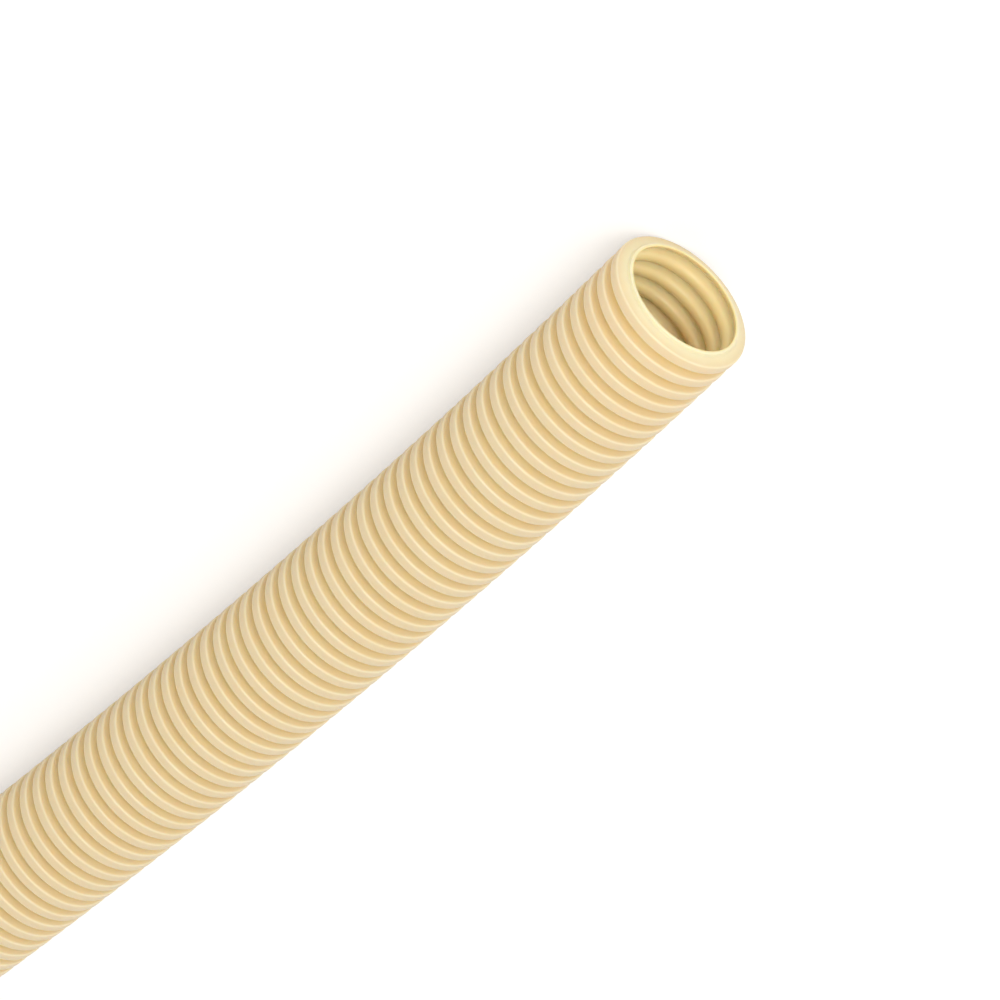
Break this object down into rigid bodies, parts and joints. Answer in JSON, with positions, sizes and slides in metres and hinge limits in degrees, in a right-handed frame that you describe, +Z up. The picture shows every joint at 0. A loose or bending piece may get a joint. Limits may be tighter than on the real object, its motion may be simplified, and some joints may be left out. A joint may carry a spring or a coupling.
{
  "type": "corrugated conduit",
  "caption": "Length of corrugated flexible plastic conduit with ring-shaped ribs, bowed near its open mouth, that carries and protects cables.",
  "frame": {"origin": "centre of the bore at the straight cut end", "axes": "+X runs along the straight run towards the open mouth, the bow near the mouth turns towards +Y, and +Z is up"},
  "size_m": [0.9737, 0.0359, 0.025],
  "materials": {
    "cream_pvc": "smooth extruded cream PVC with a soft gloss"
  },
  "bodies": {
    "root": {"conduit": "cream_pvc"}
  },
  "joints": []
}
